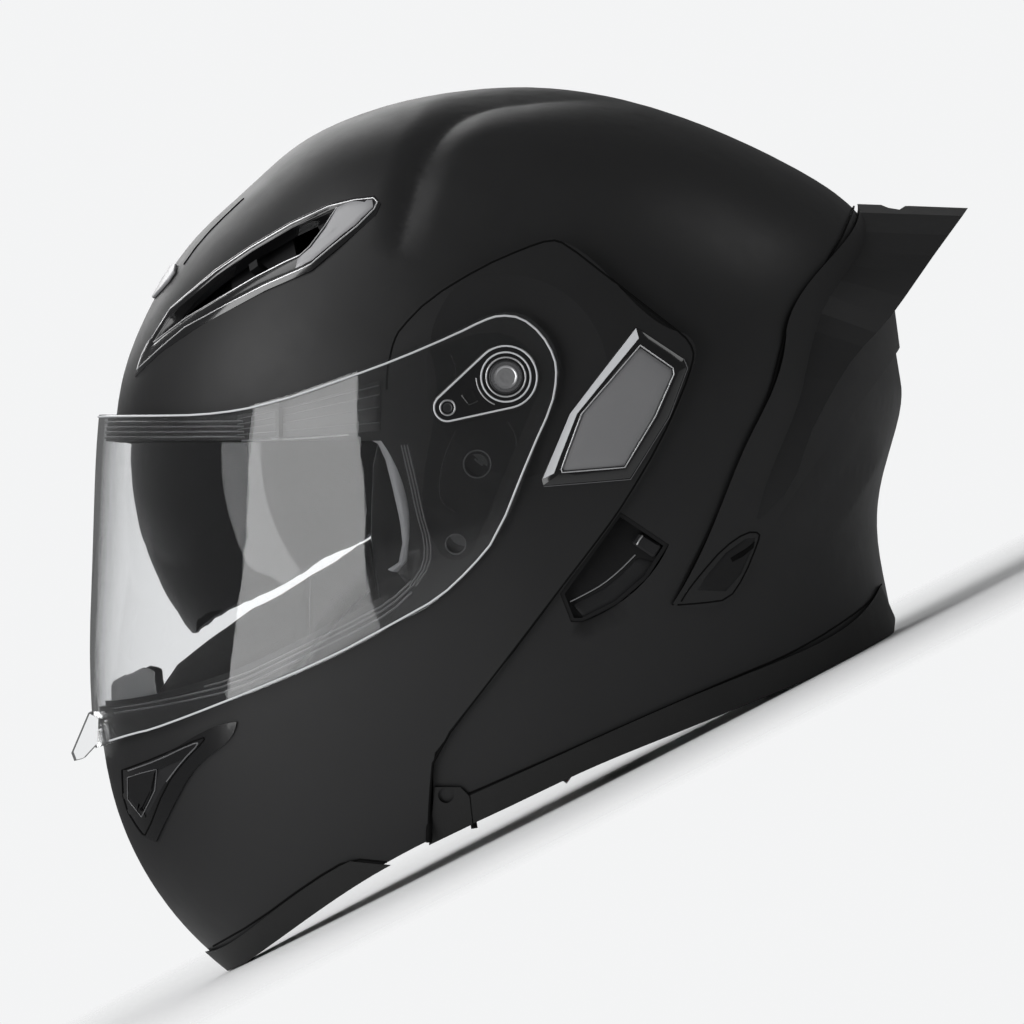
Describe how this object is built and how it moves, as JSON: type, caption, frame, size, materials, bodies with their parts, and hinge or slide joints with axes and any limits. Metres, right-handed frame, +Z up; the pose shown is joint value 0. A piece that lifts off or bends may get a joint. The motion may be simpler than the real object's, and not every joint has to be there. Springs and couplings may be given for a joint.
{
  "type": "modular motorcycle helmet",
  "caption": "Full face motorcycle helmet with a flip-up chin section, a clear face visor and a smoked inner visor.",
  "frame": {"origin": "centre of the overall bounding box, at the flat ground plane on which the helmet stands", "axes": "+Z up, -Y to the front of the helmet, +X to the rider's left; the middle plane is x = 0"},
  "size_m": [0.2684, 0.4182, 0.2822],
  "materials": {
    "shell_plastic": "matte",
    "black_plastic": "matte",
    "dark_plastic": "satin",
    "gloss_black": "gloss",
    "grey_plastic": "satin",
    "red_plastic": "satin",
    "clear_plastic": "gloss",
    "smoked_plastic": "gloss",
    "satin_metal": "satin",
    "steel": "satin",
    "rim_rubber": "matte",
    "seal_rubber": "satin",
    "shock_foam": "matte",
    "black_foam": "matte",
    "lining_cloth": "matte",
    "webbing": "matte"
  },
  "bodies": {
    "helmet": {"outer_shell": "shell_plastic", "rear_spoiler": "shell_plastic", "neck_rim": "rim_rubber", "rim_end_left": "rim_rubber", "rim_end_right": "rim_rubber", "brow_seal": "seal_rubber", "top_vent_frame_left": "satin_metal", "top_vent_frame_right": "satin_metal", "protective_foam": "shock_foam", "crown_pad": "lining_cloth", "cheek_pad_left": "lining_cloth", "cheek_pad_right": "lining_cloth", "neck_roll": "lining_cloth", "sun_visor_post_left": "black_plastic", "sun_visor_post_right": "black_plastic", "slider_tray": "black_plastic", "pivot_shaft_left": "steel", "pivot_shaft_right": "steel", "pivot_cap_left": "steel", "pivot_cap_right": "steel", "latch_strike_left": "steel", "latch_strike_right": "steel", "chin_strap_left": "webbing", "chin_strap_right": "webbing", "strap_rivet_left": "steel", "strap_rivet_right": "steel", "strap_buckle": "steel", "buckle_pin": "steel"},
    "chin_section": {"chin_bar": "shell_plastic", "chin_rim": "rim_rubber", "chin_pad": "black_foam", "lower_seal": "seal_rubber", "nose_guard": "seal_rubber", "base_plate_left": "dark_plastic", "base_plate_right": "dark_plastic", "base_screws_left": "steel", "base_screws_right": "steel", "side_insert_frame_left": "satin_metal", "side_insert_frame_right": "satin_metal", "side_insert_left": "grey_plastic", "side_insert_right": "grey_plastic", "chin_vent_frame_left": "gloss_black", "chin_vent_frame_right": "gloss_black", "chin_vent_grille_left": "dark_plastic", "chin_vent_grille_right": "dark_plastic", "pivot_bush_left": "black_plastic", "pivot_bush_right": "black_plastic", "hook_pin_left": "steel", "hook_pin_right": "steel"},
    "face_visor": {"visor": "clear_plastic", "visor_hub_left": "gloss_black", "visor_hub_right": "gloss_black"},
    "inner_visor": {"sun_visor": "smoked_plastic"},
    "inner_visor_slider": {"sun_visor_knob": "dark_plastic"},
    "hook_left": {"latch_hook_left": "steel"},
    "hook_right": {"latch_hook_right": "steel"},
    "release": {"release_button": "dark_plastic"},
    "vent_shutter_left": {"top_vent_shutter_left": "black_plastic"},
    "vent_shutter_right": {"top_vent_shutter_right": "black_plastic"},
    "strap_lever": {"buckle_lever": "red_plastic"}
  },
  "joints": [
    {"name": "chin_section_hinge", "type": "hinge", "parent": "helmet", "child": "chin_section", "pos_m": [0, 0.0132, 0.16], "axis": [-1, 0, 0], "range_deg": [0, 90]},
    {"name": "face_visor_hinge", "type": "hinge", "parent": "chin_section", "child": "face_visor", "pos_m": [0, 0.0132, 0.16], "axis": [-1, 0, 0], "range_deg": [0, 55]},
    {"name": "inner_visor_hinge", "type": "hinge", "parent": "helmet", "child": "inner_visor", "pos_m": [0, -0.03178, 0.14925], "axis": [-1, 0, 0], "range_deg": [0, 41]},
    {"name": "inner_visor_slider_arc", "type": "hinge", "parent": "helmet", "child": "inner_visor_slider", "pos_m": [0, 0.0028, 0.1279], "axis": [-1, 0, 0], "range_deg": [0, 31]},
    {"name": "release_slide", "type": "slide", "parent": "chin_section", "child": "release", "axis": [0, -0.8313, -0.5558], "range_m": [0, 0.004], "stiffness_N_per_m": 600},
    {"name": "hook_left_hinge", "type": "hinge", "parent": "chin_section", "child": "hook_left", "pos_m": [0, -0.0945, 0.0376], "axis": [1, 0, 0], "range_deg": [0, 15]},
    {"name": "hook_right_hinge", "type": "hinge", "parent": "chin_section", "child": "hook_right", "pos_m": [0, -0.0945, 0.0376], "axis": [1, 0, 0], "range_deg": [0, 15]},
    {"name": "vent_shutter_left_slide", "type": "slide", "parent": "helmet", "child": "vent_shutter_left", "axis": [0.3436, 0.9295, 0.1342], "range_m": [0, 0.008]},
    {"name": "vent_shutter_right_slide", "type": "slide", "parent": "helmet", "child": "vent_shutter_right", "axis": [-0.3436, 0.9295, 0.1342], "range_m": [0, 0.008]},
    {"name": "strap_lever_hinge", "type": "hinge", "parent": "helmet", "child": "strap_lever", "pos_m": [-0.0168, -0.04129, 0.01695], "axis": [0, 0.463, -0.8863], "range_deg": [0, 40]}
  ],
  "couplings": [
    {"joint": "inner_visor_slider_arc", "follows": "inner_visor_hinge", "ratio": 0.7},
    {"joint": "hook_left_hinge", "follows": "release_slide", "rad_per_m": 65},
    {"joint": "hook_right_hinge", "follows": "release_slide", "rad_per_m": 65}
  ]
}
